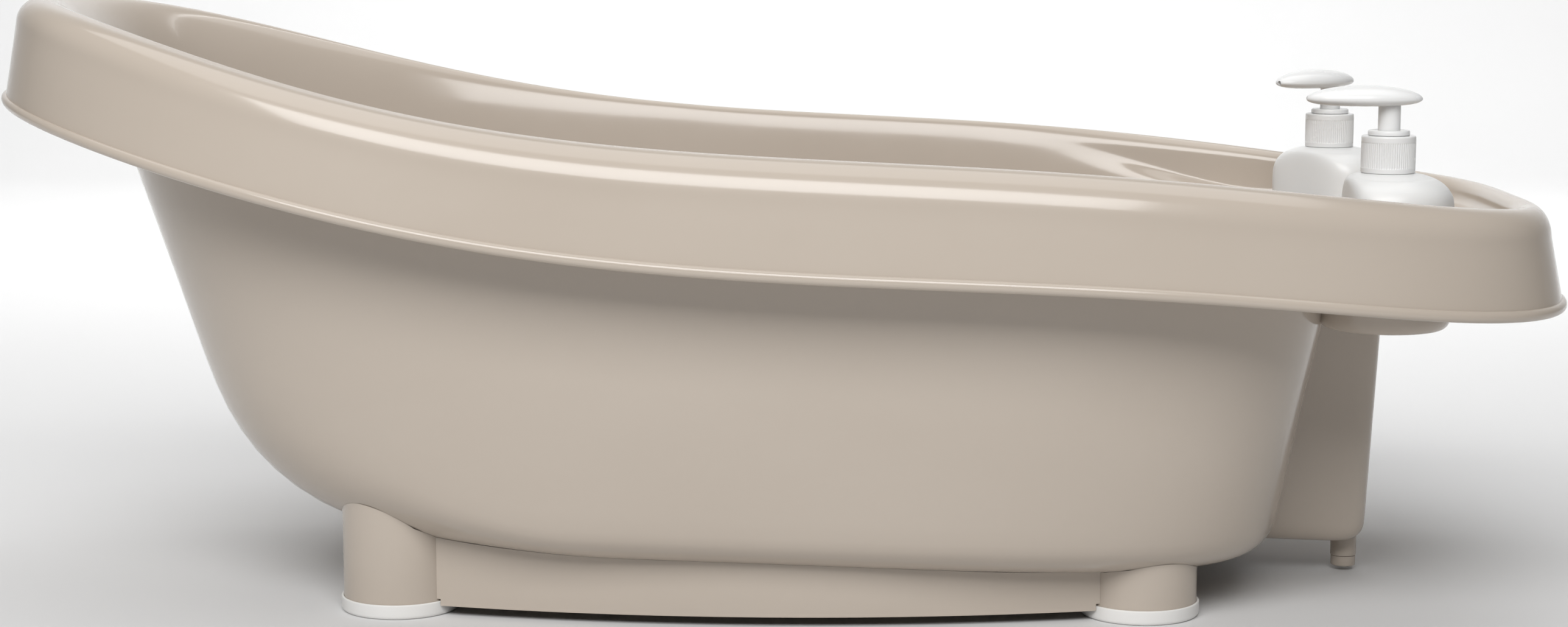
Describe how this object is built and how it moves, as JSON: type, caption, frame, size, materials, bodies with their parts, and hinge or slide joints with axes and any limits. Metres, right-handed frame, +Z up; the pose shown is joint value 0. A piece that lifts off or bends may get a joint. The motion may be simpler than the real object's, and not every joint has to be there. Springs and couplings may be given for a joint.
{
  "type": "baby bath",
  "caption": "Moulded baby bath with a raised head end, deep skirted rim, legs with soft caps, a capped drain spout and lift-out pump bottles in wells at the foot end.",
  "frame": {"origin": "on the floor, at the centre of the bath's length and width over the rim's bead", "axes": "+X along the bath from the raised head end to the drain end, +Y across it towards the rear, +Z up"},
  "size_m": [1, 0.5, 0.3794],
  "materials": {
    "taupe_plastic": "gloss",
    "bottle_plastic": "satin",
    "pump_plastic": "gloss",
    "clear_plastic": "natural, translucent",
    "white_rubber": "soft, satin",
    "seal_rubber": "soft, matt",
    "steel": "drawn wire"
  },
  "bodies": {
    "bath": {"bath_tub": "taupe_plastic", "leg_front_head": "taupe_plastic", "leg_front_foot": "taupe_plastic", "leg_rear_head": "taupe_plastic", "leg_rear_foot": "taupe_plastic", "side_panel_front": "taupe_plastic", "side_panel_rear": "taupe_plastic", "foot_cap_front_head": "white_rubber", "foot_cap_front_foot": "white_rubber", "foot_cap_rear_head": "white_rubber", "foot_cap_rear_foot": "white_rubber"},
    "drain_cap": {"drain_cap": "taupe_plastic", "drain_cap_seal": "seal_rubber"},
    "front_bottle": {"front_bottle": "bottle_plastic", "front_neck_gasket": "seal_rubber", "front_collar": "pump_plastic", "front_pump_barrel": "clear_plastic", "front_lock_disc": "pump_plastic", "front_valve_ball": "steel", "front_dip_tube": "clear_plastic", "front_spring": "steel"},
    "front_plunger": {"front_piston": "clear_plastic", "front_stem": "pump_plastic"},
    "front_head": {"front_pump_head": "pump_plastic"},
    "rear_bottle": {"rear_bottle": "bottle_plastic", "rear_neck_gasket": "seal_rubber", "rear_collar": "pump_plastic", "rear_pump_barrel": "clear_plastic", "rear_lock_disc": "pump_plastic", "rear_valve_ball": "steel", "rear_dip_tube": "clear_plastic", "rear_spring": "steel"},
    "rear_plunger": {"rear_piston": "clear_plastic", "rear_stem": "pump_plastic"},
    "rear_head": {"rear_pump_head": "pump_plastic"}
  },
  "joints": [
    {"name": "front_bottle_lift", "type": "slide", "parent": "bath", "child": "front_bottle", "axis": [0, 0, 1], "range_m": [0, 0.11]},
    {"name": "front_pump_press", "type": "slide", "parent": "front_bottle", "child": "front_plunger", "axis": [0, 0, -1], "range_m": [0, 0.0125], "stiffness_N_per_m": 600, "springref_m": -0.008, "deforming": ["front_spring"]},
    {"name": "front_head_swivel", "type": "hinge", "parent": "front_plunger", "child": "front_head", "pos_m": [0.38, -0.1096, 0.318], "axis": [0, 0, 1], "continuous": true},
    {"name": "rear_bottle_lift", "type": "slide", "parent": "bath", "child": "rear_bottle", "axis": [0, 0, 1], "range_m": [0, 0.11]},
    {"name": "rear_pump_press", "type": "slide", "parent": "rear_bottle", "child": "rear_plunger", "axis": [0, 0, -1], "range_m": [0, 0.0125], "stiffness_N_per_m": 600, "springref_m": -0.008, "deforming": ["rear_spring"]},
    {"name": "rear_head_swivel", "type": "hinge", "parent": "rear_plunger", "child": "rear_head", "pos_m": [0.38, 0.1096, 0.318], "axis": [0, 0, 1], "continuous": true},
    {"name": "drain_cap_pull", "type": "slide", "parent": "bath", "child": "drain_cap", "axis": [0, 0, -1], "range_m": [0, 0.007]}
  ]
}
